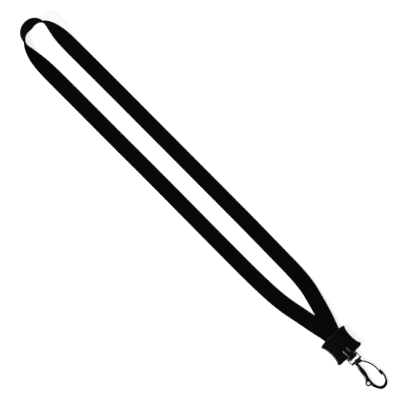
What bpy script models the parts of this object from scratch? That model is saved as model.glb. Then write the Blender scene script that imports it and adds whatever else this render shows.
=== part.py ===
"""A neck lanyard lying flat: a loop of woven webbing, a clamshell clamp and a swivel snap hook.

+Y runs from the hook towards the neck loop, +X to the right and +Z up off the table. The origin is the
middle of the clamp's flat back face, which lies on the table.
"""

from math import acos, asin, cos, pi, radians, sin, tau

import bmesh
import bpy
from mathutils import Euler, Vector

MM = 0.001

# Webbing: one strip, both ends in the clamp
STRAP_WIDTH = 16.0 * MM
STRAP_THICK = 1.1 * MM
LAYER_GAP = 0.35 * MM  # between the two layers, and between a layer and the teeth
STRAP_SIDE_GAP = 0.9 * MM  # between the strip's edge and the sockets beside it
STRAP_END_Y = -7.5 * MM  # where both ends stop inside the clamp
FLOOR_GAP = 0.02 * MM

# Clamp: two shells that meet on a plane at half their thickness
CLAMP_LENGTH = 28.0 * MM
CLAMP_THICK = 7.8 * MM
WAIST_INSET = 2.4 * MM  # how far the sides draw in between the ears
EAR_CHAMFER = 2.5 * MM
SEAM_GAP = 0.3 * MM
SHELL_FLOOR = 1.5 * MM  # the plate between a shell's outside and its pocket
SIDE_WALL = 1.5 * MM
EDGE_ROUND = 1.1 * MM
POST_RADIUS = 1.0 * MM
POST_CLEARANCE = 0.25 * MM
SOCKET_WALL = 0.7 * MM
SOCKET_MERGE = 0.3 * MM  # how far a socket runs into the side wall
TOOTH_PITCH = 3.4 * MM
TOOTH_WIDTH = 1.6 * MM
TOOTH_ROWS = 4

# Tab: it holds the eye's top bar in a cross tunnel
TAB_WALL = 1.6 * MM  # round the tunnel
TAB_WIDTH = 10.0 * MM
SHOULDER_WIDTH = 13.6 * MM
SHOULDER_REACH = 0.7 * MM
RIB_OFFSET = 2.6 * MM
RIB_RADIUS = 1.1 * MM
RIB_LENGTH = 10.8 * MM  # up the clamp from its bottom edge
RIB_PROUD = 0.6 * MM

# Swivel eye
BAR_RADIUS = 0.85 * MM
BAR_CLEARANCE = 0.15 * MM
EYE_SIDE_GAP = 0.7 * MM
EYE_LEG = 0.9 * MM
EYE_EAR_WALL = 0.13 * MM  # how far the round ends stand out round the top bar
EYE_EAR_GAP = 0.42 * MM  # from those ends to the clamp's shoulders
EYE_FOOT = 2.0 * MM  # the bottom bar's height
EYE_FOOT_DEPTH = 3.4 * MM

# Rivet between the eye and the hook
RIVET_RADIUS = 0.7 * MM
RIVET_HEAD_RADIUS = 1.7 * MM
RIVET_HEAD = 0.45 * MM
RUNNING_GAP = 0.1 * MM
JOINT_GAP = 0.25 * MM  # between faces that turn on each other
HEAD_ROOM = 1.8 * MM  # between the tab and the rivet's head

# Hook; its own outline is measured from the middle of the eye's bottom bar
HOOK_DEPTH = 3.0 * MM
NECK_DEPTH = 4.2 * MM
NECK_HEIGHT = 1.95 * MM
NECK_LEFT = -3.8 * MM
FORK_WALL = 0.45 * MM  # round the gate's ears
FORK_SLOT = 2.7 * MM
RIVET_SEAT = 1.3 * MM
BOSS_PLACE = (-7.35 * MM, -25.0 * MM)
BOSS_RADIUS = 2.95 * MM
BOSS_HOLE = 1.8 * MM
NOSE_WIDTH = 3.1 * MM
NOSE_HEIGHT = 4.7 * MM
NOSE_PLACE = (9.9 * MM, -25.9 * MM)
NOSE_SLOT = 1.9 * MM
SPINE = (  # (x, y, width) down the hook's thick leg, from the neck into the boss
    (-2.05, -1.9, 2.9),
    (-2.0, -4.3, 3.05),
    (-2.7, -8.3, 4.0),
    (-3.0, -12.3, 4.6),
    (-3.6, -16.3, 4.25),
    (-4.75, -20.1, 3.9),
    (-5.9, -22.4, 4.4),
    (-6.4, -23.4, 4.2),
)
BOW = (  # (x, y, width) from beside the boss round the bottom to the nose
    (-4.35, -21.2, 2.6),
    (-4.55, -23.0, 2.7),
    (-4.5, -24.6, 2.15),
    (-4.75, -27.3, 2.4),
    (-5.1, -28.9, 3.1),
    (-4.65, -30.9, 2.9),
    (-3.1, -34.6, 2.6),
    (-1.0, -37.4, 2.9),
    (2.3, -38.4, 3.0),
    (4.4, -38.0, 2.85),
    (6.2, -37.0, 2.45),
    (7.8, -35.6, 2.0),
    (8.85, -33.8, 1.85),
    (9.95, -30.7, 1.8),
    (10.45, -28.6, 1.6),
    (10.2, -27.2, 1.6),
)

# Gate
PIN_PLACE = (3.0 * MM, -2.5 * MM)
PIN_RADIUS = 0.4 * MM
PIN_HEAD_LIP = 0.35 * MM
PIN_HEAD = 0.25 * MM
GATE_EAR_WALL = 0.65 * MM  # round the pin
GATE_EAR = 0.4 * MM
GATE_THICK = 1.15 * MM
GATE_WIDTH = 2.2 * MM
GATE_TIP_WIDTH = 1.3 * MM
GATE = (  # (x, y) down the gate from its root to its tip
    (3.9, -3.9),
    (5.2, -5.6),
    (7.0, -8.6),
    (8.45, -12.2),
    (9.35, -16.3),
    (9.6, -20.8),
    (9.6, -25.2),
)
SPRING_WIRE = 0.13 * MM
SPRING_TURNS = 3

# Webbing route, (x, y, z or None where the strip rests on the table, roll in degrees). A positive roll
# lifts the strip's outer edge. Both legs come into the clamp one above the other.
LOW, HIGH = "low layer", "high layer"
ROUTE = (
    (0.2, -7.5, LOW, 0),
    (0.1, 2.0, LOW, 0),
    (-0.2, 10.0, LOW, 0),
    (-1.1, 17.7, LOW, 0),
    (-4.5, 33.0, 2.3, 0),
    (-8.2, 51.4, 1.1, 0),
    (-11.3, 66.7, None, 0),
    (-13.5, 85.0, None, 0),
    (-14.7, 115.0, None, 0),
    (-15.0, 160.0, None, 0),
    (-15.0, 210.0, None, 0),
    (-15.1, 260.0, None, 0),
    (-15.5, 310.0, None, 0),
    (-15.7, 360.0, None, 0),
    (-15.9, 395.0, None, 5),
    (-16.1, 414.0, None, 20),
    (-16.0, 427.0, None, 42),
    (-15.0, 436.5, None, 63),
    (-13.9, 442.0, None, 79),
    (-12.2, 446.3, None, 92),
    (-10.0, 449.6, None, 104),
    (-7.4, 452.3, None, 115),
    (-4.0, 454.4, None, 125),
    (0.0, 455.5, None, 130),
    (4.0, 455.5, None, 130),
    (7.5, 454.4, None, 125),
    (10.8, 452.5, None, 113),
    (13.8, 449.7, None, 99),
    (15.7, 446.8, None, 83),
    (17.0, 443.2, None, 72),
    (17.9, 438.5, None, 57),
    (18.4, 432.0, None, 41),
    (18.6, 424.0, None, 22),
    (18.7, 408.0, None, 3),
    (18.9, 385.0, None, 0),
    (19.2, 345.0, None, 0),
    (19.4, 300.0, None, 0),
    (19.6, 250.0, None, 0),
    (19.8, 200.0, None, 0),
    (19.9, 150.0, None, 0),
    (19.6, 115.0, None, 0),
    (19.2, 85.0, 1.1, 0),
    (17.5, 66.7, 2.2, 0),
    (13.9, 51.4, 3.1, 0),
    (8.8, 33.0, 4.0, 0),
    (3.4, 17.7, HIGH, 0),
    (0.9, 10.0, HIGH, 0),
    (0.3, 2.0, HIGH, 0),
    (0.2, -7.5, HIGH, 0),
)
STEP_STRAIGHT = 8.0 * MM
STEP_CURVED = 2.5 * MM

# Places that follow from the sizes above
MID_Z = CLAMP_THICK / 2
LAYER_RISE = (STRAP_THICK + LAYER_GAP) / 2
BOTTOM_Y = -CLAMP_LENGTH / 2
EYE_EAR_RADIUS = BAR_RADIUS + EYE_EAR_WALL
TAB_RADIUS = BAR_RADIUS + BAR_CLEARANCE + TAB_WALL
TAB_REACH = SHOULDER_REACH + EYE_EAR_GAP + EYE_EAR_RADIUS
EYE_DROP = TAB_RADIUS + HEAD_ROOM + RIVET_HEAD + JOINT_GAP + EYE_FOOT / 2
PIVOT = Vector((0, BOTTOM_Y - TAB_REACH, MID_Z))
POCKET_DEPTH = MID_Z - SHELL_FLOOR
TOOTH_RISE = POCKET_DEPTH - LAYER_RISE - STRAP_THICK / 2 - LAYER_GAP
SOCKET_RADIUS = POST_RADIUS + POST_CLEARANCE + SOCKET_WALL
POST_X = STRAP_WIDTH / 2 + STRAP_SIDE_GAP + SOCKET_RADIUS
POCKET_HALF = POST_X + SOCKET_RADIUS - SOCKET_MERGE
CLAMP_WIDTH = 2 * (POCKET_HALF + SIDE_WALL + WAIST_INSET)
POST_YS = (CLAMP_LENGTH * 0.12, CLAMP_LENGTH * -0.22)
GATE_EAR_RADIUS = PIN_RADIUS + GATE_EAR_WALL
FORK_RADIUS = GATE_EAR_RADIUS + FORK_WALL
PIN_HEAD_RADIUS = PIN_RADIUS + PIN_HEAD_LIP
FOOT_TOP = EYE_FOOT / 2
NECK_TOP = -FOOT_TOP - JOINT_GAP
BOW_LOW = min(y for _, y, _ in BOW) * MM
DROOP = asin((MID_Z - HOOK_DEPTH / 2 - FLOOR_GAP) / (EYE_DROP - BOW_LOW))


def clear_scene():
    for obj in list(bpy.data.objects):
        bpy.data.objects.remove(obj, do_unlink=True)


def material(name, colour, metallic, roughness):
    made = bpy.data.materials.new(name)
    made.use_nodes = True
    shader = made.node_tree.nodes["Principled BSDF"]
    shader.inputs["Base Color"].default_value = (*colour, 1)
    shader.inputs["Metallic"].default_value = metallic
    shader.inputs["Roughness"].default_value = roughness
    return made


def add(name, mesh_data, look=None, parent=None):
    """A scene object from a bmesh, with smooth sides and sharp corners."""
    mesh = bpy.data.meshes.new(name)
    bmesh.ops.recalc_face_normals(mesh_data, faces=mesh_data.faces)
    mesh_data.to_mesh(mesh)
    mesh_data.free()
    mesh.shade_smooth()
    mesh.set_sharp_from_angle(angle=radians(35))
    obj = bpy.data.objects.new(name, mesh)
    bpy.context.collection.objects.link(obj)
    if look:
        mesh.materials.append(look)
    if parent:
        obj.parent = parent
    return obj


def helper(obj):
    """Marks an object as a cutter or a shape that a Boolean joins on."""
    obj.hide_render = True
    obj.display_type = "WIRE"
    return obj


def boolean(obj, other, operation):
    cut = obj.modifiers.new(f"{operation.lower()} {other.name}", "BOOLEAN")
    cut.object = helper(other)
    cut.operation = operation
    cut.solver = "EXACT"


def join(obj, *others):
    for other in others:
        boolean(obj, other, "UNION")


def cut(obj, *others):
    for other in others:
        boolean(obj, other, "DIFFERENCE")


def empty(name, place, turn=(0, 0, 0), parent=None):
    obj = bpy.data.objects.new(name, None)
    obj.location = place
    obj.rotation_euler = turn
    obj.parent = parent
    bpy.context.collection.objects.link(obj)
    return obj


def prism(points, low, high):
    """An outline in X and Y pulled up from low to high."""
    made = bmesh.new()
    face = made.faces.new([made.verts.new((x, y, low)) for x, y in points])
    top = bmesh.ops.extrude_face_region(made, geom=[face])["geom"]
    moved = [part for part in top if isinstance(part, bmesh.types.BMVert)]
    bmesh.ops.translate(made, vec=(0, 0, high - low), verts=moved)
    return made


def box(low, high):
    made = bmesh.new()
    bmesh.ops.create_cube(made, size=1)
    size = Vector(high) - Vector(low)
    bmesh.ops.scale(made, vec=size, verts=made.verts)
    bmesh.ops.translate(made, vec=(Vector(high) + Vector(low)) / 2, verts=made.verts)
    return made


def drum(radius, low, high, axis, place=(0, 0, 0), sides=24):
    """A cylinder along an axis, from low to high on it."""
    made = bmesh.new()
    bmesh.ops.create_cone(
        made, cap_ends=True, segments=sides, radius1=radius, radius2=radius, depth=high - low
    )
    bmesh.ops.translate(made, vec=(0, 0, (low + high) / 2), verts=made.verts)
    turn = {"Z": Euler((0, 0, 0)), "Y": Euler((-pi / 2, 0, 0)), "X": Euler((0, pi / 2, 0))}[axis]
    bmesh.ops.rotate(made, matrix=turn.to_matrix(), verts=made.verts)
    bmesh.ops.translate(made, vec=place, verts=made.verts)
    return made


def arc(centre, radius, start, end, steps):
    """Points round part of a circle, angles in degrees."""
    turns = [radians(start + (end - start) * i / steps) for i in range(steps + 1)]
    return [(centre[0] + radius * cos(a), centre[1] + radius * sin(a)) for a in turns]


def curve_through(points, step):
    """A smooth line through points of any size, as values about step apart, by centripetal spans."""
    rows = [Vector(point) for point in points]
    rows = [2 * rows[0] - rows[1], *rows, 2 * rows[-1] - rows[-2]]
    line = []
    for before, start, end, after in zip(rows, rows[1:], rows[2:], rows[3:]):
        long = (end - start).length
        count = max(2, round(long / (step(start, end) if callable(step) else step)))
        out = (end - before) * (long / ((end - start).length + (start - before).length))
        into = (after - start) * (long / ((after - end).length + (end - start).length))
        for i in range(count):
            t = i / count
            line.append(
                start * (2 * t**3 - 3 * t**2 + 1)
                + out * (t**3 - 2 * t**2 + t)
                + end * (3 * t**2 - 2 * t**3)
                + into * (t**3 - t**2)
            )
    return [*line, rows[-2]]


def skin(rings, closed=False):
    """A solid through rings of points, capped at both ends unless it closes on itself."""
    made = bmesh.new()
    loops = [[made.verts.new(point) for point in ring] for ring in rings]
    pairs = list(zip(loops, loops[1:]))
    if closed:
        pairs.append((loops[-1], loops[0]))
    else:
        made.faces.new(loops[0])
        made.faces.new(loops[-1][::-1])
    for one, two in pairs:
        for i in range(len(one)):
            j = (i + 1) % len(one)
            made.faces.new((one[i], one[j], two[j], two[i]))
    return made


def flat_sweep(rows, step, depth, corners=12):
    """A bar that follows (x, y, width) in its own plane, with a rounded section of the given depth."""
    line = curve_through([Vector(row) * MM for row in rows], step)
    rings = []
    for i, here in enumerate(line):
        run = line[min(i + 1, len(line) - 1)] - line[max(i - 1, 0)]
        side = Vector((-run.y, run.x)).normalized()
        ring = []
        for k in range(corners):
            a = tau * (k + 0.5) / corners
            across = abs(cos(a)) ** 0.7 * (1 if cos(a) > 0 else -1) * here.z / 2
            up = abs(sin(a)) ** 0.7 * (1 if sin(a) > 0 else -1) * depth / 2
            ring.append((here.x + side.x * across, here.y + side.y * across, up))
        rings.append(ring)
    return skin(rings)


# Webbing


def layer_z(z, roll):
    """The height of the strip's middle line at a point of the route."""
    if z == LOW:
        return MID_Z - LAYER_RISE
    if z == HIGH:
        return MID_Z + LAYER_RISE
    if z is None:
        lift = radians(roll)
        return STRAP_WIDTH / 2 * abs(sin(lift)) + STRAP_THICK / 2 * abs(cos(lift)) + FLOOR_GAP
    return z * MM


def strap_step(start, end):
    return STEP_STRAIGHT if abs(end.w - start.w) < 0.02 and abs(start.x) > 14 * MM else STEP_CURVED


def strap_line():
    """The strip's middle line, as (x, y, z, roll in radians)."""
    rows = [(x * MM, y * MM, layer_z(z, roll), radians(roll)) for x, y, z, roll in ROUTE]
    scaled = [Vector((x, y, z, roll * STRAP_WIDTH)) for x, y, z, roll in rows]
    line = curve_through(scaled, strap_step)
    return [(Vector((p.x, p.y, p.z)), p.w / STRAP_WIDTH) for p in line]


def build_strap(look):
    line = strap_line()
    rings = []
    for i, (here, roll) in enumerate(line):
        run = line[min(i + 1, len(line) - 1)][0] - line[max(i - 1, 0)][0]
        run.normalize()
        side = Vector((-run.y, run.x, 0)).normalized()
        up = run.cross(side)
        out = (side * cos(roll) + up * sin(roll)) * STRAP_WIDTH / 2
        face = (up * cos(roll) - side * sin(roll)) * STRAP_THICK / 2
        rings.append([here + out + face, here - out + face, here - out - face, here + out - face])
    return add("webbing_strap", skin(rings), look)


# Clamp


def clamp_outline():
    """The clamp's plan outline without its tab: ears at four corners and a waist between them."""
    half, top = CLAMP_WIDTH / 2, CLAMP_LENGTH / 2
    waist, ear = half - WAIST_INSET, EAR_CHAMFER
    right = []
    steps = 14
    for i in range(steps + 1):  # the side, top ear to bottom ear
        y = (top - ear) * (1 - 2 * i / steps)
        draw = abs(cos(pi / 2 * y / (top - ear))) ** 0.55
        right.append((half - (half - waist) * draw, y))
    right = [(half - ear, top - 0.15 * ear), (half - 0.25 * ear, top - 0.45 * ear), *right]
    right += [(half - 0.3 * ear, -top + 0.35 * ear), (half - ear, -top)]
    left = [(-x, y) for x, y in reversed(right)]
    crown = [(-half * 0.45, top + 0.3 * MM), (0, top + 0.4 * MM), (half * 0.45, top + 0.3 * MM)]
    return [*right, *left, *crown]


def tab_body(low, high, name):
    """The tab's half between two heights: a barrel round the bar's axis, joined to the clamp."""
    half = TAB_WIDTH / 2
    overlap = 1.5 * MM
    profile = arc((PIVOT.y, PIVOT.z), TAB_RADIUS, 90, 270, 16)
    profile += [(BOTTOM_Y + overlap, PIVOT.z - TAB_RADIUS), (BOTTOM_Y + overlap, PIVOT.z + TAB_RADIUS)]
    rings = [[(x, y, z) for y, z in profile] for x in (-half, half)]
    body = add(f"{name}_tab", skin(rings))
    keep = box((-half - MM, PIVOT.y - 2 * TAB_RADIUS, low), (half + MM, 0, high))
    boolean(body, add(f"{name}_tab_keep", keep), "INTERSECT")
    return body


def shoulder(low, high, name):
    half = SHOULDER_WIDTH / 2
    slope = 0.6 * MM
    end = BOTTOM_Y - SHOULDER_REACH
    points = [(-half - slope, BOTTOM_Y + MM), (-half, end), (half, end), (half + slope, BOTTOM_Y + MM)]
    return add(f"{name}_shoulder", prism(points, low, high))


def pocket(low, high, name):
    """The hollow that the strap's ends lie in, open at the clamp's top edge."""
    half = POCKET_HALF
    mouth = CLAMP_WIDTH / 2 - EAR_CHAMFER - 0.4 * MM
    top = CLAMP_LENGTH / 2
    deep = STRAP_END_Y - 1.5 * MM
    points = [(-half, deep), (half, deep), (half, top * 0.45), (mouth, top + 2 * MM)]
    points += [(-mouth, top + 2 * MM), (-half, top * 0.45)]
    return add(f"{name}_pocket", prism(points, low, high))


def teeth(floor, tip, name):
    """Cross ridges that bite the strap, each a wedge with a narrow flat tip."""
    made = []
    half = STRAP_WIDTH / 2 + 0.5 * MM
    root = floor - (tip - floor) * 0.5
    for i in range(TOOTH_ROWS):
        y = STRAP_END_Y + (i + 0.8) * TOOTH_PITCH
        wide, narrow = TOOTH_WIDTH * 0.75, TOOTH_WIDTH / 5
        profile = [(y - wide, root), (y + wide, root), (y + narrow, tip), (y - narrow, tip)]
        rings = [[(x, py, pz) for py, pz in profile] for x in (-half, half)]
        made.append(add(f"{name}_tooth_{i + 1}", skin(rings)))
    return made


def bar_tunnel(name):
    radius = BAR_RADIUS + BAR_CLEARANCE
    return add(name, drum(radius, -TAB_WIDTH, TAB_WIDTH, "X", PIVOT, sides=20))


def round_edges(obj, face_z):
    """A rounded edge round one flat face of a prism."""
    layer = obj.data.attributes.new("bevel_weight_edge", "FLOAT", "EDGE")
    points = obj.data.vertices
    for edge in obj.data.edges:
        flat = all(abs(points[i].co.z - face_z) < 1e-6 for i in edge.vertices)
        layer.data[edge.index].value = 1.0 if flat else 0.0
    bevel = obj.modifiers.new("edge round", "BEVEL")
    bevel.limit_method = "WEIGHT"
    bevel.width = EDGE_ROUND
    bevel.segments = 3


def build_back(look):
    top = MID_Z - SEAM_GAP / 2
    floor = MID_Z - POCKET_DEPTH
    shell = add("clamp_back", prism(clamp_outline(), 0, top), look)
    round_edges(shell, 0)
    join(shell, shoulder(0.9 * MM, top, "back"), tab_body(0, top, "back"))
    cut(shell, pocket(floor, top + MM, "back"))
    sockets, holes = [], []
    for i, (side, y) in enumerate((s, y) for s in (-1, 1) for y in POST_YS):
        place = (side * POST_X, y, 0)
        sockets.append(add(f"socket_{i + 1}", drum(SOCKET_RADIUS, floor - 0.5 * MM, top, "Z", place)))
        hole = POST_RADIUS + POST_CLEARANCE
        holes.append(add(f"socket_hole_{i + 1}", drum(hole, floor, top + MM, "Z", place, 20)))
    join(shell, *sockets, *teeth(floor, floor + TOOTH_RISE, "back"))
    cut(shell, *holes, bar_tunnel("back_tunnel"))
    return shell


def ribs():
    """Two half-round ribs down the front of the clamp and over the tab."""
    made = []
    face = CLAMP_THICK
    start = Vector((BOTTOM_Y + RIB_LENGTH, face + RIB_PROUD - RIB_RADIUS - 0.6 * MM))
    bend = Vector((BOTTOM_Y + 3.0 * MM, face + RIB_PROUD - RIB_RADIUS))
    over = Vector((PIVOT.y, PIVOT.z + TAB_RADIUS - 0.35 * RIB_RADIUS))
    end = Vector((PIVOT.y - TAB_RADIUS * 0.8, PIVOT.z + TAB_RADIUS * 0.75))
    for side in (-1, 1):
        rings = []
        for y, z in curve_through([start, bend, over, end], 1.2 * MM):
            turn = [tau * k / 12 for k in range(12)]
            ring = [(cos(a) * RIB_RADIUS, sin(a) * RIB_RADIUS) for a in turn]
            rings.append([(side * RIB_OFFSET + a, y, z + b) for a, b in ring])
        made.append(add(f"rib_{side}", skin(rings)))
    return made


def build_front(look):
    bottom = MID_Z + SEAM_GAP / 2
    roof = MID_Z + POCKET_DEPTH
    shell = add("clamp_front", prism(clamp_outline(), bottom, CLAMP_THICK), look)
    round_edges(shell, CLAMP_THICK)
    join(shell, shoulder(bottom, CLAMP_THICK - 0.9 * MM, "front"), tab_body(bottom, CLAMP_THICK, "front"))
    join(shell, *ribs())
    cut(shell, pocket(bottom - MM, roof, "front"))
    low = MID_Z - POCKET_DEPTH + LAYER_GAP
    posts = []
    for i, (side, y) in enumerate((s, y) for s in (-1, 1) for y in POST_YS):
        place = (side * POST_X, y, 0)
        posts.append(add(f"post_{i + 1}", drum(POST_RADIUS, low, roof + 0.5 * MM, "Z", place, 20)))
    join(shell, *posts, *teeth(roof, roof - TOOTH_RISE, "front"))
    cut(shell, bar_tunnel("front_tunnel"))
    return shell


# Swivel eye and rivet; the eye's parent empty is on its tilt axis


def build_eye(look, tilt):
    half = TAB_WIDTH / 2 + EYE_SIDE_GAP + EYE_LEG / 2
    foot_y = -EYE_DROP
    bar = add("swivel_eye", drum(BAR_RADIUS, -half, half, "X", sides=16), look, tilt)
    for side in (-1, 1):
        low = (side * half - EYE_LEG / 2, foot_y, -BAR_RADIUS)
        high = (side * half + EYE_LEG / 2, 0, BAR_RADIUS)
        leg = add(f"eye_leg_{side}", box(low, high), parent=tilt)
        ear = drum(EYE_EAR_RADIUS, -EYE_LEG / 2, EYE_LEG / 2, "X", (side * half, 0, 0), 16)
        join(bar, leg, add(f"eye_ear_{side}", ear, parent=tilt))
    reach = half + EYE_LEG / 2
    low = (-reach, foot_y - EYE_FOOT / 2, -BAR_RADIUS * 1.2)
    foot = add("eye_foot", box(low, (reach, foot_y + EYE_FOOT / 2, BAR_RADIUS * 1.2)), parent=tilt)
    turned = drum(EYE_FOOT_DEPTH / 2, foot_y - EYE_FOOT / 2, foot_y + EYE_FOOT / 2, "Y")
    join(bar, foot, add("eye_boss", turned, parent=tilt))
    hole = drum(RIVET_RADIUS + RUNNING_GAP, foot_y - EYE_FOOT, foot_y + EYE_FOOT, "Y", sides=20)
    cut(bar, add("eye_hole", hole, parent=tilt))
    return bar


def turned_along_y(profile, sides):
    """A solid of revolution about Y through (radius, y) rows whose ends lie on the axis."""
    made = bmesh.new()
    points = [made.verts.new((r, y, 0)) for r, y in profile]
    edges = [made.edges.new(pair) for pair in zip(points, points[1:])]
    bmesh.ops.spin(
        made,
        geom=[*points, *edges],
        axis=(0, 1, 0),
        cent=(0, 0, 0),
        angle=tau,
        steps=sides,
        use_merge=True,
    )
    bmesh.ops.remove_doubles(made, verts=made.verts, dist=1e-6)
    return made


def build_rivet(look, swivel):
    head_low = FOOT_TOP + JOINT_GAP
    head_top = head_low + RIVET_HEAD
    end = NECK_TOP - RIVET_SEAT + JOINT_GAP
    profile = [
        (0, head_top),
        (RIVET_HEAD_RADIUS * 0.55, head_top - 0.05 * RIVET_HEAD),
        (RIVET_HEAD_RADIUS * 0.9, head_top - 0.35 * RIVET_HEAD),
        (RIVET_HEAD_RADIUS, head_low),
        (RIVET_RADIUS, head_low),
        (RIVET_RADIUS, end),
        (0, end),
    ]
    return add("swivel_rivet", turned_along_y(profile, 20), look, swivel)


# Hook


def neck_block():
    """The hook's neck, with a round cheek over the gate's pin."""
    cheek = arc(PIN_PLACE, FORK_RADIUS, -100, 35, 10)
    bottom = NECK_TOP - NECK_HEIGHT
    left = [(NECK_LEFT + 0.5 * MM, NECK_TOP), (NECK_LEFT, NECK_TOP - 0.6 * MM), (NECK_LEFT + 0.3 * MM, bottom)]
    right = [(-0.4 * MM, bottom), *cheek, (PIN_PLACE[0] + FORK_RADIUS * 0.6, NECK_TOP)]
    return prism([*left, *right], -NECK_DEPTH / 2, NECK_DEPTH / 2)


def fork_slot():
    pin_x, pin_y = PIN_PLACE
    left = pin_x - GATE_EAR_RADIUS - 0.2 * MM
    top = pin_y + GATE_EAR_RADIUS + 0.2 * MM
    far = pin_x + 4 * FORK_RADIUS
    return box((left, pin_y - 3 * FORK_RADIUS, -FORK_SLOT / 2), (far, top, FORK_SLOT / 2))


def nose_block():
    x, y = NOSE_PLACE
    half, tall, deep = NOSE_WIDTH / 2, NOSE_HEIGHT / 2, HOOK_DEPTH / 2
    return box((x - half, y - tall, -deep), (x + half, y + tall, deep))


def nose_slot():
    """The notch that takes the gate's tip, open towards the inside of the hook."""
    x, y = NOSE_PLACE
    tip_x, tip_y = GATE[-1][0] * MM, GATE[-1][1] * MM
    low = (x - NOSE_WIDTH, tip_y - 1.3 * MM, -NOSE_SLOT / 2)
    high = (tip_x + GATE_THICK / 2 + JOINT_GAP, y + NOSE_HEIGHT, NOSE_SLOT / 2)
    return box(low, high)


def build_hook(look, swivel):
    body = add("hook_body", neck_block(), look, swivel)
    bevel = body.modifiers.new("neck edges", "BEVEL")
    bevel.width = 0.35 * MM
    bevel.segments = 2
    bevel.angle_limit = radians(60)
    spine = add("spine", flat_sweep(SPINE, 1.6 * MM, HOOK_DEPTH), parent=swivel)
    bow = add("bow", flat_sweep(BOW, 1.5 * MM, HOOK_DEPTH), parent=swivel)
    place = (*BOSS_PLACE, 0)
    half = HOOK_DEPTH / 2
    boss = add("boss", drum(BOSS_RADIUS, -half, half, "Z", place, 28), parent=swivel)
    nose = add("nose", nose_block(), parent=swivel)
    round_off = nose.modifiers.new("nose edges", "BEVEL")
    round_off.width = 0.4 * MM
    round_off.segments = 2
    join(body, spine, boss, bow, nose)
    hole = add("boss_hole", drum(BOSS_HOLE, -2 * half, 2 * half, "Z", place, 24), parent=swivel)
    seat = drum(RIVET_RADIUS + RUNNING_GAP, NECK_TOP - RIVET_SEAT, NECK_TOP + MM, "Y", sides=20)
    pin_hole = drum(PIN_RADIUS + RUNNING_GAP, -NECK_DEPTH, NECK_DEPTH, "Z", (*PIN_PLACE, 0), 20)
    cut(body, hole, add("rivet_seat", seat, parent=swivel), add("fork_slot", fork_slot(), parent=swivel))
    cut(body, add("pin_hole", pin_hole, parent=swivel), add("nose_slot", nose_slot(), parent=swivel))
    return body


# Gate; its parent empty is on the pin's axis, so places here are measured from the pin


def gate_strip():
    pin = Vector(PIN_PLACE)
    line = curve_through([Vector(point) * MM - pin for point in GATE], 1.6 * MM)
    rings = []
    for i, here in enumerate(line):
        run = line[min(i + 1, len(line) - 1)] - line[max(i - 1, 0)]
        side = Vector((-run.y, run.x)).normalized() * GATE_THICK / 2
        slot_start = line[-1].y + 3.2 * MM
        half = (GATE_WIDTH if here.y > slot_start else GATE_TIP_WIDTH) / 2
        one, two = here + side, here - side
        rings.append([(*one, half), (*two, half), (*two, -half), (*one, -half)])
    return skin(rings)


def gate_ear(low, high):
    """A cheek round the pin that runs out to the strip's root."""
    root = Vector(GATE[0]) * MM - Vector(PIN_PLACE)
    out = root.normalized()
    across = Vector((-out.y, out.x)) * GATE_THICK / 2
    far = root + out * 0.8 * MM
    start = 180 / pi * (acos(out.x) * (-1 if out.y < 0 else 1)) + 60
    points = arc((0, 0), GATE_EAR_RADIUS, start, start + 240, 16)
    return prism([*points, tuple(far - across), tuple(far + across)], low, high)


def build_gate(look, hinge):
    gate = add("hook_gate", gate_strip(), look, hinge)
    half = GATE_WIDTH / 2
    for name, low in (("upper", half - GATE_EAR), ("lower", -half)):
        join(gate, add(f"{name}_ear", gate_ear(low, low + GATE_EAR), parent=hinge))
    hole = drum(PIN_RADIUS + RUNNING_GAP, -GATE_WIDTH, GATE_WIDTH, "Z", sides=20)
    cut(gate, add("gate_hole", hole, parent=hinge))
    return gate


def build_pin(look, swivel):
    half = NECK_DEPTH / 2 + RUNNING_GAP
    flat = [(0, half + PIN_HEAD), (PIN_HEAD_RADIUS * 0.7, half + PIN_HEAD), (PIN_HEAD_RADIUS, half)]
    profile = [*flat, (PIN_RADIUS, half)]
    profile += [(r, -y) for r, y in reversed(profile)]
    pin = add("gate_pin", turned_along_y(profile, 16), look, swivel)
    pin.rotation_euler = (pi / 2, 0, 0)
    pin.location = (*PIN_PLACE, 0)
    return pin


def build_spring(look, hinge):
    """A torsion spring: turns round the pin, one leg along the gate and a short one in the neck."""
    radius = PIN_RADIUS + 2 * SPRING_WIRE
    height = GATE_WIDTH - 2 * GATE_EAR - 4 * SPRING_WIRE
    along = (Vector(GATE[1]) * MM - Vector(PIN_PLACE)).normalized()
    aim = -acos(along.x)
    steps = 12
    line = []
    total = SPRING_TURNS * steps + steps // 2
    first = aim + pi / 2 - tau * total / steps
    for i in range(total + 1):
        a = first + tau * i / steps
        line.append(Vector((cos(a) * radius, sin(a) * radius, height * (i / total - 0.5))))
    leg = line[-1] + Vector((along.x, along.y, 0)) * GATE_EAR_RADIUS * 0.9
    begin = line[0] + Vector((sin(first), -cos(first), 0)) * PIN_RADIUS * 1.2
    line = [begin, *line, leg]
    rings = []
    for i, here in enumerate(line):
        run = (line[min(i + 1, len(line) - 1)] - line[max(i - 1, 0)]).normalized()
        side = run.cross(Vector((0, 0, 1))).normalized()
        up = side.cross(run)
        turn = [tau * k / 6 for k in range(6)]
        rings.append([here + (side * cos(a) + up * sin(a)) * SPRING_WIRE for a in turn])
    return add("gate_spring", skin(rings), look, hinge)


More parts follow.
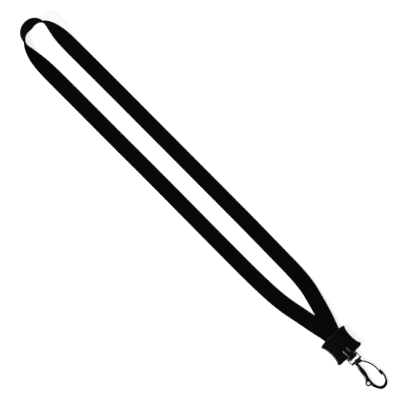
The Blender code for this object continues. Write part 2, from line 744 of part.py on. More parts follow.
def main():
    clear_scene()
    webbing = material("black webbing", (0.012, 0.012, 0.013), 0.0, 0.85)
    plastic = material("black plastic", (0.015, 0.015, 0.016), 0.0, 0.4)
    plated = material("black plated metal", (0.03, 0.03, 0.032), 1.0, 0.2)
    steel = material("black spring steel", (0.05, 0.05, 0.052), 1.0, 0.35)
    tilt = empty("eye_tilt", PIVOT, (DROOP, 0, 0))
    swivel = empty("hook_swivel", (0, -EYE_DROP, 0), parent=tilt)
    hinge = empty("gate_hinge", (*PIN_PLACE, 0), parent=swivel)
    build_strap(webbing)
    build_back(plastic)
    build_front(plastic)
    build_eye(plated, tilt)
    build_rivet(plated, swivel)
    build_hook(plated, swivel)
    build_gate(steel, hinge)
    build_pin(plated, swivel)
    build_spring(steel, hinge)


main()
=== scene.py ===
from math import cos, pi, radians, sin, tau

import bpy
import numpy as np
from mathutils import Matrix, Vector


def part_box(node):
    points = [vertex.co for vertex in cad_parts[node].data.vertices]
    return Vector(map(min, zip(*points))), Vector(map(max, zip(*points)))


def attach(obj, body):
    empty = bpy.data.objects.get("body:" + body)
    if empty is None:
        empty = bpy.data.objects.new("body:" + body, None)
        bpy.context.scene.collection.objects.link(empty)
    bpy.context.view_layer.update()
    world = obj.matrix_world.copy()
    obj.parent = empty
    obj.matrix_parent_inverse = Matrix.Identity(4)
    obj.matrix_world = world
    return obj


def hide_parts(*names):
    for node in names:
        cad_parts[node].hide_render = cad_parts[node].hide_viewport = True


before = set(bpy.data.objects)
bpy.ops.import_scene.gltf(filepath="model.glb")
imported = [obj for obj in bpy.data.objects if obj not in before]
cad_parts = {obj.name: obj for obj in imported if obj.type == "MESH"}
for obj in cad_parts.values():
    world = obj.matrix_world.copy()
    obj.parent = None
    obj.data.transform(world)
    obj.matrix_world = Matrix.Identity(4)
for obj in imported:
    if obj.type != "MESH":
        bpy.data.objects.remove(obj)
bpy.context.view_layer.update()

# %% [markdown]
# # A neck lanyard, laid flat
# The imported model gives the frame: a clamshell clamp at the origin, a webbing loop that runs up +Y, and a
# swivel snap hook that hangs down -Y. Its solids are plain, so this lesson makes the fine surfaces: woven
# webbing, moulded plastic and plated metal, each in the place of the solid that it stands for.

MM = 0.001


class Graph:
    """Adds nodes to a node tree, one line each."""

    def __init__(self, tree):
        self.tree = tree

    def add(self, kind, inputs=None, **settings):
        node = self.tree.nodes.new(kind)
        for key, value in settings.items():
            setattr(node, key, value)
        for key, value in (inputs or {}).items():
            self.feed(node.inputs[key], value)
        return node

    def feed(self, socket, value):
        if isinstance(value, bpy.types.NodeSocket):
            self.tree.links.new(value, socket)
        else:
            socket.default_value = value

    def math(self, operation, *values):
        node = self.add("ShaderNodeMath", operation=operation)
        for socket, value in zip(node.inputs, values):
            self.feed(socket, value)
        return node.outputs[0]

    def blend(self, factor, low, high):
        """A colour between two, by a factor."""
        node = self.add("ShaderNodeMix", data_type="RGBA")
        self.feed(node.inputs[0], factor)
        self.feed(node.inputs[6], low)
        self.feed(node.inputs[7], high)
        return node.outputs[2]

    def stretch(self, value, low, high):
        """A value of 0 to 1, spread from low to high."""
        node = self.add("ShaderNodeMapRange", {"Value": value, "To Min": low, "To Max": high})
        return node.outputs["Result"]


def grey(value, tint=0.0):
    """A near-neutral colour; a positive tint leans to blue."""
    return (value, value, value * (1 + tint), 1.0)


def new_object(name, points, faces):
    mesh = bpy.data.meshes.new(name)
    mesh.from_pydata([tuple(p) for p in points], [], [tuple(f) for f in faces])
    mesh.update()
    mesh.shade_smooth()
    made = bpy.data.objects.new(name, mesh)
    bpy.context.scene.collection.objects.link(made)
    return made


# %% [markdown]
# ## Camera, floor and light
# The lanyard lies on a white table and is seen from straight above, turned so that the loop is at the upper
# left. The lens is long, because a flat layout has no visible perspective. The lights stand well out to the
# sides, so that flat black faces don't mirror them: that keeps the plastic and the webbing black, and leaves
# thin bright lines along the ribs. The table gives off some light of its own, which is a plain way to a white
# and nearly shadowless ground under black things.

# %% Camera
VIEW_SPAN = 408 * MM
VIEW_HEIGHT = 5.0  # far enough that the raised clamp is not pushed outwards
TARGET = Vector((1.7 * MM, 206.45 * MM, 0))
ROLL = radians(-44.61)  # turns the loop's axis to the picture's diagonal

SENSOR = 36  # in millimetres, as lenses are
camera = bpy.data.objects.new("camera", bpy.data.cameras.new("camera"))
camera.data.sensor_width = SENSOR
camera.data.lens = SENSOR * VIEW_HEIGHT / VIEW_SPAN
camera.data.clip_end = 4 * VIEW_HEIGHT
camera.location = TARGET + Vector((0, 0, VIEW_HEIGHT))
camera.rotation_euler = (0, 0, ROLL)
bpy.context.scene.collection.objects.link(camera)
bpy.context.scene.camera = camera
print(f"camera: {camera.data.lens:.0f} mm lens, {VIEW_HEIGHT} m up, {VIEW_SPAN / MM:.0f} mm across the view")

# %% Floor and lights
FLOOR_REACH = 4.0
FLOOR_WHITE = 0.9
FLOOR_GLOW = 0.84
bpy.context.scene.view_settings.view_transform = "Standard"


def plain_floor():
    far = FLOOR_REACH
    corners = [(-far, -far, 0), (far, -far, 0), (far, far, 0), (-far, far, 0)]
    floor = new_object("floor", corners, [(0, 1, 2, 3)])
    look = bpy.data.materials.new("floor white")
    look.use_nodes = True
    shader = look.node_tree.nodes["Principled BSDF"]
    shader.inputs["Base Color"].default_value = grey(FLOOR_WHITE)
    shader.inputs["Roughness"].default_value = 0.9  # a matt table
    shader.inputs["Specular IOR Level"].default_value = 0.0
    shader.inputs["Emission Color"].default_value = grey(1.0)
    shader.inputs["Emission Strength"].default_value = FLOOR_GLOW
    floor.data.materials.append(look)


def soft_box(name, toward, height, reach, size, power):
    """A square soft light beside the table, aimed at its middle. toward is an angle in the X-Y plane."""
    data = bpy.data.lights.new(name, "AREA")
    data.size = size
    data.energy = power
    made = bpy.data.objects.new(name, data)
    turn = radians(toward)
    made.location = TARGET + Vector((cos(turn) * reach, sin(turn) * reach, height))
    made.rotation_euler = (TARGET - made.location).to_track_quat("-Z", "Y").to_euler()
    made.visible_camera = False
    bpy.context.scene.collection.objects.link(made)


plain_floor()
for light in (  # name, way round in degrees, height, reach, size in metres, watts
    ("key light", 186, 1.25, 1.05, 0.3, 9),
    ("far light", 93, 1.0, 1.5, 0.6, 4),
    ("fill light", -20, 1.6, 1.4, 0.9, 1),
):
    soft_box(*light)
world = bpy.data.worlds.new("studio")
world.use_nodes = True
world.node_tree.nodes["Background"].inputs["Color"].default_value = grey(1.0)
world.node_tree.nodes["Background"].inputs["Strength"].default_value = 0.015
bpy.context.scene.world = world
print("lights:", ", ".join(made.name for made in bpy.data.lights))

# %% [markdown]
# ## Webbing, as a surface
# Dyed polyester yarn, plain woven: the warp runs along the strip and dips under every other weft rib. It
# could be an image, but a pattern worked out from the strip's own flat coordinates, in metres, follows every
# twist and stays sharp. The yarn has no gloss of its own, so the strip's tilted faces stay black.

# %% Webbing
RIB_PITCH = 1.1 * MM
YARN_PITCH = 0.72 * MM
YARN_ROUND = 0.12 * MM  # how high the bump stands the yarns


def surface(name):
    made = bpy.data.materials.new(name)
    made.use_nodes = True
    made.node_tree.nodes.clear()
    graph = Graph(made.node_tree)
    shader = graph.add("ShaderNodeBsdfPrincipled")
    output = graph.add("ShaderNodeOutputMaterial")
    graph.feed(output.inputs["Surface"], shader.outputs["BSDF"])
    return made, graph, shader


def webbing_look():
    """Plain weave: warp yarns run along the strip and dive under every other rib."""
    made, g, shader = surface("woven black webbing")
    flat = g.add("ShaderNodeUVMap", uv_map="strip").outputs["UV"]
    parts = g.add("ShaderNodeSeparateXYZ", {"Vector": flat}).outputs
    across = g.math("DIVIDE", parts["X"], YARN_PITCH)
    along = g.math("DIVIDE", parts["Y"], RIB_PITCH)
    parity = g.math("MULTIPLY", g.math("FLOOR", across), pi)
    wave = g.math("COSINE", g.math("ADD", g.math("MULTIPLY", along, pi), parity))
    over = g.math("MULTIPLY_ADD", wave, 0.5, 0.5)
    yarn_round = g.math("SINE", g.math("MULTIPLY", g.math("FRACT", across), pi))
    pick_round = g.math("SINE", g.math("MULTIPLY", g.math("FRACT", along), pi))
    warp = g.math("MULTIPLY", over, yarn_round)
    under = g.math("MULTIPLY", g.math("SUBTRACT", 1.0, over), pick_round)
    height = g.math("MAXIMUM", warp, g.math("MULTIPLY", under, 0.8))
    fibre_grid = g.add("ShaderNodeMapping", {"Vector": flat, "Scale": (9000, 1800, 1)}).outputs[0]
    fibres = g.add("ShaderNodeTexNoise", {"Vector": fibre_grid, "Scale": 1.0, "Detail": 3.0}).outputs[0]
    lint = g.add("ShaderNodeTexNoise", {"Vector": flat, "Scale": 900.0, "Detail": 4.0}).outputs[0]
    wear = g.add("ShaderNodeTexNoise", {"Vector": flat, "Scale": 35.0, "Detail": 2.0}).outputs[0]
    mottle = g.add("ShaderNodeTexNoise", {"Vector": flat, "Scale": 620.0, "Detail": 1.0}).outputs[0]
    spread = {"Value": mottle, "From Min": 0.3, "From Max": 0.7, "To Min": 0.0, "To Max": 1.8}
    patchy = g.add("ShaderNodeMapRange", spread)
    raised = g.math("MULTIPLY", height, g.stretch(fibres, 0.5, 1.3))
    raised = g.math("MULTIPLY", raised, patchy.outputs["Result"])
    # lighter on raised yarn and darker in the weave's dips: painted shade, mixed with random fibre tone
    yarn_tone_and_painted_shade = g.blend(raised, grey(0.0024), grey(0.012, 0.05))
    faded = g.blend(g.math("MULTIPLY", wear, 0.35), yarn_tone_and_painted_shade, grey(0.0155, 0.05))
    speck = g.math("GREATER_THAN", lint, 0.74)
    g.feed(shader.inputs["Base Color"], g.blend(g.math("MULTIPLY", speck, 0.2), faded, grey(0.03)))
    g.feed(shader.inputs["Roughness"], g.stretch(raised, 0.95, 0.72))
    relief = g.math("ADD", height, g.math("MULTIPLY", fibres, 0.35))
    bump = g.add("ShaderNodeBump", {"Height": relief, "Strength": 0.8, "Distance": YARN_ROUND})
    g.feed(shader.inputs["Normal"], bump.outputs["Normal"])
    shader.inputs["Specular IOR Level"].default_value = 0.0
    shader.inputs["Sheen Weight"].default_value = 0.003
    shader.inputs["Sheen Roughness"].default_value = 0.5
    return made


# %% [markdown]
# ## Plastic, as a surface
# Satin black moulding: a fine spark-eroded grain from the mould's walls, uneven shine, and a painted
# highlight:
# a pale line along the crest of the left rib, which is also glossier there. Noise does the grain and the
# shine, because neither repeats. The painted line is set by place, in millimetres, because it belongs to that
# one rib.

# %% Plastic
LEFT_RIB = -2.6 * MM


def rib_crest_painted_highlight(g, place):
    """1 along the crest of the left rib, where a pale painted highlight goes and the plastic is glossier, and
    0 elsewhere.
    """
    parts = g.add("ShaderNodeSeparateXYZ", {"Vector": place}).outputs
    aside = g.math("ABSOLUTE", g.math("SUBTRACT", parts["X"], LEFT_RIB))

    def rise(value, start, stop):
        """0 at start and 1 at stop, in millimetres."""
        limits = {"Value": value, "From Min": start * MM, "From Max": stop * MM}
        return g.add("ShaderNodeMapRange", limits).outputs["Result"]

    ends = g.math("MAXIMUM", rise(parts["Y"], -8.5, -5.5), rise(parts["Y"], -13.5, -15))
    return g.math("SUBTRACT", 1.0, g.math("MAXIMUM", rise(aside, 0.35, 0.7), ends))


def plastic_look():
    """Satin moulded plastic: a fine spark-eroded grain, patches of shine, light scuffs and a painted highlight
    on one rib.
    """
    made, g, shader = surface("satin black plastic")
    place = g.add("ShaderNodeTexCoord").outputs["Object"]
    grain = g.add("ShaderNodeTexNoise", {"Vector": place, "Scale": 5200.0, "Detail": 2.0}).outputs[0]
    patch = g.add("ShaderNodeTexNoise", {"Vector": place, "Scale": 160.0, "Detail": 3.0}).outputs[0]
    lines = g.add("ShaderNodeMapping", {"Vector": place, "Rotation": (0, 0, 0.5), "Scale": (4000, 160, 900)})
    rub = g.add("ShaderNodeTexNoise", {"Vector": lines.outputs[0], "Scale": 1.0, "Detail": 2.0}).outputs[0]
    scuff = g.math("MULTIPLY", g.math("GREATER_THAN", rub, 0.71), patch)
    body = g.blend(patch, grey(0.0022), grey(0.0042, 0.05))
    crest_gloss_and_painted_highlight = rib_crest_painted_highlight(g, place)
    scuffed = g.blend(g.math("MULTIPLY", scuff, 0.5), body, grey(0.02))
    # the pale grey on the left rib's crest is a painted highlight
    g.feed(shader.inputs["Base Color"], g.blend(crest_gloss_and_painted_highlight, scuffed, grey(0.22)))
    satin = g.math("ADD", g.stretch(patch, 0.24, 0.33), g.math("MULTIPLY", scuff, 0.1))
    bright = g.math("SUBTRACT", satin, g.math("MULTIPLY", crest_gloss_and_painted_highlight, 0.14))
    g.feed(shader.inputs["Roughness"], bright)
    bump = g.add("ShaderNodeBump", {"Height": grain, "Strength": 0.35, "Distance": 0.03 * MM})
    g.feed(shader.inputs["Normal"], bump.outputs["Normal"])
    shader.inputs["Specular IOR Level"].default_value = 0.5
    return made


# %% [markdown]
# ## Metals, as surfaces
# The casting and the eye have a gloss black plate, and the gate and its coil are blackened spring steel. Both
# are one recipe with other numbers: a metal of very low colour, polishing lines that change its shine, and a
# few dull spots. Paint would be simpler, but it would lose the dark mirror that a plated surface keeps.

# %% Metals
def metal_look(name, colour, rough_low, rough_high, line_scale):
    """Metal with fine polishing lines, a little uneven shine and faint dull spots."""
    made, g, shader = surface(name)
    place = g.add("ShaderNodeTexCoord").outputs["Object"]
    lines = g.add("ShaderNodeMapping", {"Vector": place, "Scale": line_scale}).outputs[0]
    polish = g.add("ShaderNodeTexNoise", {"Vector": lines, "Scale": 1.0, "Detail": 3.0}).outputs[0]
    cloud = g.add("ShaderNodeTexNoise", {"Vector": place, "Scale": 260.0, "Detail": 4.0}).outputs[0]
    pits = g.add("ShaderNodeTexNoise", {"Vector": place, "Scale": 2600.0, "Detail": 1.0}).outputs[0]
    dull = g.math("GREATER_THAN", pits, 0.76)
    tone = g.blend(g.math("MULTIPLY", cloud, 0.5), grey(colour, 0.015), grey(colour * 0.8, 0.0))
    g.feed(shader.inputs["Base Color"], g.blend(g.math("MULTIPLY", dull, 0.35), tone, grey(colour * 0.45)))
    wander = g.math("ADD", g.math("MULTIPLY", polish, 0.6), g.math("MULTIPLY", cloud, 0.4))
    g.feed(shader.inputs["Roughness"], g.stretch(wander, rough_low, rough_high))
    relief = g.math("ADD", polish, g.math("MULTIPLY", pits, 0.4))
    bump = g.add("ShaderNodeBump", {"Height": relief, "Strength": 0.25, "Distance": 0.01 * MM})
    g.feed(shader.inputs["Normal"], bump.outputs["Normal"])
    shader.inputs["Metallic"].default_value = 1.0
    shader.inputs["Specular Tint"].default_value = grey(0.3)  # dulls the shine along the outline
    return made


looks = {
    "webbing": webbing_look(),
    "clamp_plastic": plastic_look(),
    "plated_metal": metal_look("black plate", 0.03, 0.14, 0.3, (2500, 900, 2500)),
    "gate_steel": metal_look("blackened spring steel", 0.05, 0.22, 0.38, (6000, 250, 6000)),
}
print("materials:", ", ".join(look.name for look in looks.values()))

# %% [markdown]
# ## Webbing
# One strip of 16 mm woven webbing makes the whole loop. Its route is the one its solid follows: up the left
# leg, over on its edge at the top, where a flat strip has to roll to turn round, and down the right leg. Both
# ends go into the clamp, one on the other. A cloth simulation would settle into a shape of its own, so the
# route is a table of places and rolls, with a smooth line through them.

# %% The route
STRAP_WIDTH = 16.0 * MM
STRAP_THICK = 1.1 * MM
LAYER_GAP = 0.35 * MM
FLOOR_GAP = 0.02 * MM
LOW, HIGH = "low layer", "high layer"
ROUTE = (  # (x, y, z or None where the strip rests on the table, roll in degrees)
    (0.2, -7.5, LOW, 0),
    (0.1, 2.0, LOW, 0),
    (-0.2, 10.0, LOW, 0),
    (-1.1, 17.7, LOW, 0),
    (-4.5, 33.0, 2.3, 0),
    (-8.2, 51.4, 1.1, 0),
    (-11.3, 66.7, None, 0),
    (-13.5, 85.0, None, 0),
    (-14.7, 115.0, None, 0),
    (-15.0, 160.0, None, 0),
    (-15.0, 210.0, None, 0),
    (-15.1, 260.0, None, 0),
    (-15.5, 310.0, None, 0),
    (-15.7, 360.0, None, 0),
    (-15.9, 395.0, None, 5),
    (-16.1, 414.0, None, 20),
    (-16.0, 427.0, None, 42),
    (-15.0, 436.5, None, 63),
    (-13.9, 442.0, None, 79),
    (-12.2, 446.3, None, 92),
    (-10.0, 449.6, None, 104),
    (-7.4, 452.3, None, 115),
    (-4.0, 454.4, None, 125),
    (0.0, 455.5, None, 130),
    (4.0, 455.5, None, 130),
    (7.5, 454.4, None, 125),
    (10.8, 452.5, None, 113),
    (13.8, 449.7, None, 99),
    (15.7, 446.8, None, 83),
    (17.0, 443.2, None, 72),
    (17.9, 438.5, None, 57),
    (18.4, 432.0, None, 41),
    (18.6, 424.0, None, 22),
    (18.7, 408.0, None, 3),
    (18.9, 385.0, None, 0),
    (19.2, 345.0, None, 0),
    (19.4, 300.0, None, 0),
    (19.6, 250.0, None, 0),
    (19.8, 200.0, None, 0),
    (19.9, 150.0, None, 0),
    (19.6, 115.0, None, 0),
    (19.2, 85.0, 1.1, 0),
    (17.5, 66.7, 2.2, 0),
    (13.9, 51.4, 3.1, 0),
    (8.8, 33.0, 4.0, 0),
    (3.4, 17.7, HIGH, 0),
    (0.9, 10.0, HIGH, 0),
    (0.3, 2.0, HIGH, 0),
    (0.2, -7.5, HIGH, 0),
)
seam_z = 3.9 * MM  # where the clamp's two shells meet


def layer_z(z, roll):
    """The height of the strip's middle line at a point of the route."""
    if z in (LOW, HIGH):
        return seam_z + (STRAP_THICK + LAYER_GAP) / 2 * (1 if z == HIGH else -1)
    if z is None:
        lift = radians(roll)
        return STRAP_WIDTH / 2 * abs(sin(lift)) + STRAP_THICK / 2 * abs(cos(lift)) + FLOOR_GAP
    return z * MM


def curve_through(points, step):
    """A smooth line through points of any size, as values about step apart."""
    rows = [Vector(point) for point in points]
    rows = [2 * rows[0] - rows[1], *rows, 2 * rows[-1] - rows[-2]]
    line = []
    for before, start, end, after in zip(rows, rows[1:], rows[2:], rows[3:]):
        long = (end - start).length
        out = (end - before) * (long / (long + (start - before).length))
        into = (after - start) * (long / (long + (after - end).length))
        count = max(2, round(long / step))
        for t in (i / count for i in range(count)):
            line.append(
                start * (2 * t**3 - 3 * t**2 + 1)
                + out * (t**3 - 2 * t**2 + t)
                + end * (3 * t**2 - 2 * t**3)
                + into * (t**3 - t**2)
            )
    return [*line, rows[-2]]


def even_line(line, step):
    """The line again at even spacing, as an array, with its running length."""
    rows = np.array([tuple(p) for p in line])
    run = np.concatenate([[0], np.cumsum(np.linalg.norm(np.diff(rows[:, :3], axis=0), axis=1))])
    at = np.linspace(0, run[-1], round(run[-1] / step) + 1)
    return np.stack([np.interp(at, run, rows[:, k]) for k in range(rows.shape[1])], axis=1), at


def softened(rows, reach, passes):
    """The rows with their bends eased: each moves to the middle of its neighbours within reach."""
    kernel = np.hanning(2 * reach + 3)[1:-1]
    kernel /= kernel.sum()
    for _ in range(passes):
        padded = np.concatenate([np.repeat(rows[:1], reach, 0), rows, np.repeat(rows[-1:], reach, 0)])
        eased = np.stack([np.convolve(padded[:, k], kernel, "valid") for k in range(rows.shape[1])], 1)
        eased[0], eased[-1] = rows[0], rows[-1]
        rows = eased
    return rows


route = [(x * MM, y * MM, layer_z(z, roll), radians(roll) * STRAP_WIDTH) for x, y, z, roll in ROUTE]
RING_STEP = RIB_PITCH / 3
strap_rows, strap_run = even_line(curve_through(route, 1 * MM), RING_STEP)
strap_rows = softened(strap_rows, 8, 2)


# %% [markdown]
# ## The band
# The strip itself is a closed band, flat with rounded selvedges. A sweep along a curve would twist as it
# liked, so each ring of the band is set at its own place and roll, worked out for all rings at once. Where the
# strip stands on edge it is bowed a little across. No ring starts below the table, though the ribs that are
# added next may press into it by a fraction of a millimetre.

# %% The band
CUP = 1.2 * MM  # how deep the strip's section bows where it stands on edge
SELVEDGE_LOOPS = 0.15 * MM  # how far the turned weft stands out past the nominal width


def strip_section():
    """(across, through) points round the strip: flat faces, and selvedges a little thicker and rounded."""
    half, thick, columns = STRAP_WIDTH / 2 + SELVEDGE_LOOPS, STRAP_THICK / 2, 9
    flat = half - thick
    top = []
    for i in range(columns):
        across = flat * (2 * i / (columns - 1) - 1)
        bead = 0.06 * MM * min(1, max(0, (abs(across) - 0.8 * flat) / (0.2 * flat)))
        top.append((across, thick - 0.03 * MM + bead))
    edge = [(flat + thick * cos(a), thick * sin(a)) for a in (pi / 4, 0, -pi / 4)]
    bottom = [(across, -up) for across, up in reversed(top)]
    return top + edge + bottom + [(-across, -up) for across, up in edge]


def strip_band(rows, run, section):
    """The closed band through a ring of the section at each row, with its flat coordinates as a UV map."""
    middle, roll = rows[:, :3], rows[:, 3] / STRAP_WIDTH
    ahead = np.gradient(middle, axis=0)
    ahead /= np.linalg.norm(ahead, axis=1, keepdims=True)
    side = np.stack([-ahead[:, 1], ahead[:, 0], 0 * ahead[:, 0]], 1)
    side /= np.linalg.norm(side, axis=1, keepdims=True)
    up = np.cross(ahead, side)
    out = side * np.cos(roll)[:, None] + up * np.sin(roll)[:, None]
    face = up * np.cos(roll)[:, None] - side * np.sin(roll)[:, None]
    across, through = np.array(section).T
    bowed = CUP * np.sin(roll)[:, None] ** 2 * (1 / 3 - (across[None] / across.max()) ** 2)
    points = middle[:, None] + out[:, None] * across[None, :, None]
    points += face[:, None] * (through[None] + bowed)[..., None]
    points[..., 2] += np.clip(FLOOR_GAP - points[..., 2].min(axis=1), 0, None)[:, None]
    rings, around = len(rows), len(section)
    i, k = np.meshgrid(np.arange(rings - 1), np.arange(around), indexing="ij")
    j = (k + 1) % around
    quads = np.stack([i * around + k, (i + 1) * around + k, (i + 1) * around + j, i * around + j], -1)
    faces = quads.reshape(-1, 4).tolist()
    faces += [list(range(around)), [(rings - 1) * around + n for n in reversed(range(around))]]
    band = new_object("strap_webbing", points.reshape(-1, 3), faces)
    flat = band.data.uv_layers.new(name="strip")
    owner = np.zeros(len(band.data.loops), np.int32)
    band.data.loops.foreach_get("vertex_index", owner)
    flat.data.foreach_set("uv", np.stack([across[owner % around], run[owner // around]], 1).ravel())
    return band


strap = strip_band(strap_rows, strap_run, strip_section())


# %% [markdown]
# ## Ribs and selvedge
# The weft shows as about 860 cross ribs, with a small loop of yarn at the end of each. They repeat along a
# path, so a node tree makes them: it reads how far along the strip each point is and lifts it in a wave. The
# finer yarn pattern is in the surface, because as geometry it would need far more faces.

# %% Ribs and selvedge, in geometry nodes
SELVEDGE_STARTS = 0.955  # as a share of half the strip's width


def rib_tree():
    """Raises the weft ribs along the strip and bulges each one at the selvedge."""
    tree = bpy.data.node_groups.new("woven ribs", "GeometryNodeTree")
    face = tree.interface
    face.new_socket("Geometry", in_out="INPUT", socket_type="NodeSocketGeometry")
    for name in ("Rib pitch", "Rib height", "Edge height", "Half width"):
        face.new_socket(name, in_out="INPUT", socket_type="NodeSocketFloat")
    face.new_socket("Material", in_out="INPUT", socket_type="NodeSocketMaterial")
    face.new_socket("Geometry", in_out="OUTPUT", socket_type="NodeSocketGeometry")
    g = Graph(tree)
    given = g.add("NodeGroupInput").outputs
    flat = g.add("GeometryNodeInputNamedAttribute", {"Name": "strip"}, data_type="FLOAT_VECTOR")
    parts = g.add("ShaderNodeSeparateXYZ", {"Vector": flat.outputs["Attribute"]}).outputs
    turn = g.math("MULTIPLY", g.math("DIVIDE", parts["Y"], given["Rib pitch"]), tau)
    wave = g.math("MULTIPLY_ADD", g.math("COSINE", turn), -0.5, 0.5)
    share = g.math("DIVIDE", g.math("ABSOLUTE", parts["X"]), given["Half width"])
    edge = g.math("GREATER_THAN", share, SELVEDGE_STARTS)
    extra = g.math("MULTIPLY", edge, g.math("SUBTRACT", given["Edge height"], given["Rib height"]))
    lift = g.math("MULTIPLY", wave, g.math("ADD", given["Rib height"], extra))
    normal = g.add("GeometryNodeInputNormal").outputs[0]
    offset = g.add("ShaderNodeVectorMath", {0: normal}, operation="SCALE")
    g.feed(offset.inputs["Scale"], lift)
    raised = g.add("GeometryNodeSetPosition", {"Geometry": given["Geometry"], "Offset": offset.outputs[0]})
    real = g.add("GeometryNodeRealizeInstances", {"Geometry": raised.outputs[0]}).outputs[0]
    done = g.add("GeometryNodeSetMaterial", {"Geometry": real, "Material": given["Material"]})
    g.feed(g.add("NodeGroupOutput").inputs[0], done.outputs[0])
    return tree


def apply_tree(obj, tree, values):
    """Runs a geometry node tree on an object and keeps the result as its plain mesh."""
    modifier = obj.modifiers.new(tree.name, "NODES")
    modifier.node_group = tree
    items = tree.interface.items_tree
    sockets = {item.name: item.identifier for item in items if item.in_out == "INPUT"}
    for name, value in values.items():
        modifier[sockets[name]] = value
    seen = obj.evaluated_get(bpy.context.evaluated_depsgraph_get())
    result = bpy.data.meshes.new_from_object(seen)
    obj.modifiers.remove(modifier)
    obj.data = result
    obj.data.name = obj.name


apply_tree(
    strap,
    rib_tree(),
    {
        "Rib pitch": RIB_PITCH,
        "Rib height": 0.07 * MM,
        "Edge height": 0.22 * MM,
        "Half width": STRAP_WIDTH / 2,
        "Material": looks["webbing"],
    },
)
print(f"{strap.name}: {len(strap.data.polygons)} faces, uv maps {[m.name for m in strap.data.uv_layers]}")
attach(strap, "strap_and_clamp")
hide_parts("webbing_strap")

# %% [markdown]
# ## Moulded and cast pieces
# Clamp shells, hook, eye and gate start from their solids' shapes and get the soft corners that a mould or a
# die gives. A bevel suits a few clean corners, and these are fine and crowded, so each solid's mesh is copied,
# rebuilt as an even fine skin and relaxed, which eases every edge alike. Two shapes are then changed on
# purpose: the front shell's face swells towards its middle, and the hook and its gate are made a little
# stouter. Both amounts are given below.


# %% Soft-cornered copies
def read_points(mesh, what="co"):
    """The mesh's points, or with "normal" the way that each faces, as rows of an array."""
    flat = np.empty(len(mesh.vertices) * 3)
    mesh.vertices.foreach_get(what, flat)
    return flat.reshape(-1, 3)


def write_points(mesh, points):
    mesh.vertices.foreach_set("co", points.ravel())
    mesh.update()


EASE_IN, LET_OUT = 0.5, -0.52


def neighbour_sum(points, start, end):
    """For each point, the sum of the points that an edge joins it to."""
    rows = [
        np.bincount(start, points[end, k], len(points)) + np.bincount(end, points[start, k], len(points))
        for k in range(3)
    ]
    return np.stack(rows, 1)


def relaxed(mesh, passes):
    """Smooths a mesh without shrinking it: each pass eases every point in, then lets it out again."""
    points = read_points(mesh)
    ends = np.empty(len(mesh.edges) * 2, np.int64)
    mesh.edges.foreach_get("vertices", ends)
    start, end = ends.reshape(-1, 2).T
    count = np.bincount(np.concatenate([start, end]), minlength=len(points))
    for _ in range(passes):
        for share in (EASE_IN, LET_OUT):
            mean = neighbour_sum(points, start, end) / count[:, None]
            points = points + share * (mean - points)
    write_points(mesh, points)


CROWN = 0.42 * MM
CROWN_REACH = 15.5 * MM
FACE_STARTS = seam_z + 1.5 * MM  # above the front shell's edge


def crowned(mesh):
    """Swells the front shell's outer face a little towards its middle."""
    points = read_points(mesh)
    inside = np.clip(1 - (points[:, :2] / CROWN_REACH) ** 2, 0, 1).prod(axis=1)
    points[:, 2] += CROWN * inside * (points[:, 2] > FACE_STARTS)
    write_points(mesh, points)


STOUTER_BY = 0.17 * MM
STOUTER_FROM = -25.5 * MM  # the full amount is reached 1 mm further down


def stouter(mesh):
    """Makes a thin piece a little thicker than its solid all round, below the neck. The amount is given."""
    points = read_points(mesh)
    below = np.clip((STOUTER_FROM - points[:, 1:2]) / MM, 0, 1)
    write_points(mesh, points + read_points(mesh, "normal") * STOUTER_BY * below)


def soft_copy(node, name, body, slot, grain, passes, shape=None):
    """A fine skin over a solid, with every corner eased. grain is the skin's cell size."""
    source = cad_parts[node]
    made = bpy.data.objects.new(name, source.data.copy())
    bpy.context.scene.collection.objects.link(made)
    skin = made.modifiers.new("skin", "REMESH")
    skin.mode = "VOXEL"
    skin.voxel_size = grain
    result = bpy.data.meshes.new_from_object(made.evaluated_get(bpy.context.evaluated_depsgraph_get()))
    made.modifiers.clear()
    made.data = result
    result.name = name
    relaxed(result, passes)
    if shape:
        shape(result)
    result.materials.clear()
    result.materials.append(looks[slot])
    result.shade_smooth()
    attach(made, body)
    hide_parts(node)
    print(f"{name}: {len(result.polygons)} faces")
    return made


SKINS = (  # node, piece, body, slot, cell size, easing passes, own shape
    ("clamp_back", "clamp_back_shell", "strap_and_clamp", "clamp_plastic", 0.2 * MM, 8, None),
    ("clamp_front", "clamp_front_shell", "strap_and_clamp", "clamp_plastic", 0.2 * MM, 4, crowned),
    ("swivel_eye", "eye_frame", "eye", "plated_metal", 0.1 * MM, 12, None),
    ("swivel_rivet", "rivet_turned", "hook", "plated_metal", 0.06 * MM, 30, None),
    ("hook_body", "hook_casting", "hook", "plated_metal", 0.12 * MM, 30, stouter),
    ("gate_pin", "gate_pin_turned", "hook", "plated_metal", 0.05 * MM, 20, None),
    ("hook_gate", "gate_lever", "gate", "gate_steel", 0.08 * MM, 12, stouter),
)
for row in SKINS:
    soft_copy(*row)

# %% [markdown]
# ## Spring
# The gate closes under a small torsion spring, wound round its pin between the two cheeks. A wire that
# follows a path is a job for curves, so a node tree makes the coil and its leg, gives them the wire's round
# section and sets them on the pin's axis.


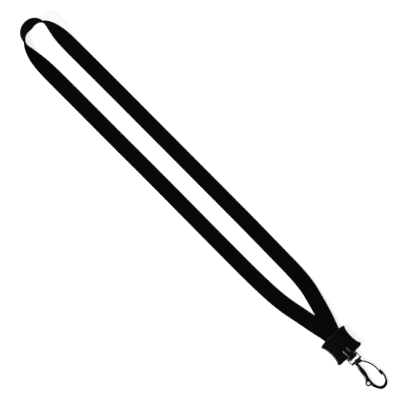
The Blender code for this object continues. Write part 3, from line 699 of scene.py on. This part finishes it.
# %% The coil, in geometry nodes
def spring_tree():
    """A coil of wire with one straight leg, set on an axis."""
    tree = bpy.data.node_groups.new("torsion spring", "GeometryNodeTree")
    face = tree.interface
    face.new_socket("Geometry", in_out="INPUT", socket_type="NodeSocketGeometry")
    for name in ("Turns", "Coil radius", "Wire radius", "Height", "Leg"):
        face.new_socket(name, in_out="INPUT", socket_type="NodeSocketFloat")
    for name in ("Place", "Turn"):
        face.new_socket(name, in_out="INPUT", socket_type="NodeSocketVector")
    face.new_socket("Material", in_out="INPUT", socket_type="NodeSocketMaterial")
    face.new_socket("Geometry", in_out="OUTPUT", socket_type="NodeSocketGeometry")
    g = Graph(tree)
    given = g.add("NodeGroupInput").outputs
    coil = g.add("GeometryNodeCurveSpiral", {"Resolution": 32, "Rotations": given["Turns"]})
    for socket in ("Start Radius", "End Radius"):
        g.feed(coil.inputs[socket], given["Coil radius"])
    g.feed(coil.inputs["Height"], given["Height"])
    start = g.add("ShaderNodeCombineXYZ", {"X": given["Coil radius"]}).outputs[0]
    end = g.add("ShaderNodeCombineXYZ", {"X": given["Coil radius"], "Y": given["Leg"]}).outputs[0]
    leg = g.add("GeometryNodeCurvePrimitiveLine", {"Start": start, "End": end}).outputs[0]
    both = g.add("GeometryNodeJoinGeometry")
    g.feed(both.inputs[0], coil.outputs[0])
    g.feed(both.inputs[0], leg)
    ring = {"Resolution": 14, "Radius": given["Wire radius"]}
    profile = g.add("GeometryNodeCurvePrimitiveCircle", ring).outputs[0]
    wire = g.add("GeometryNodeCurveToMesh", {"Curve": both.outputs[0], "Profile Curve": profile})
    wire.inputs["Fill Caps"].default_value = True
    low = g.math("MULTIPLY", given["Height"], -0.5)
    centre = g.add("ShaderNodeCombineXYZ", {"Z": low}).outputs[0]
    centring = {"Geometry": wire.outputs[0], "Translation": centre}
    middled = g.add("GeometryNodeTransform", centring).outputs[0]
    placing = {"Geometry": middled, "Translation": given["Place"], "Rotation": given["Turn"]}
    placed = g.add("GeometryNodeTransform", placing)
    smooth = g.add("GeometryNodeSetShadeSmooth", {"Geometry": placed.outputs[0]}).outputs[0]
    real = g.add("GeometryNodeRealizeInstances", {"Geometry": smooth}).outputs[0]
    done = g.add("GeometryNodeSetMaterial", {"Geometry": real, "Material": given["Material"]})
    g.feed(g.add("NodeGroupOutput").inputs[0], done.outputs[0])
    return tree


pin_low, pin_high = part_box("gate_pin")
DROOP = radians(3.066)  # how far the hook's plane hangs from level
spring = new_object("spring_coil", [(0, 0, 0), (MM, 0, 0), (0, MM, 0)], [(0, 1, 2)])
apply_tree(
    spring,
    spring_tree(),
    {
        "Turns": 4.5,
        "Coil radius": 0.66 * MM,
        "Wire radius": 0.1 * MM,
        "Height": 1.0 * MM,
        "Leg": 1.0 * MM,
        "Place": (pin_low + pin_high) / 2,
        "Turn": Vector((DROOP, 0, radians(-150))),
        "Material": looks["gate_steel"],
    },
)
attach(spring, "gate")
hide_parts("gate_spring")
print(f"{spring.name}: {len(spring.data.polygons)} faces")
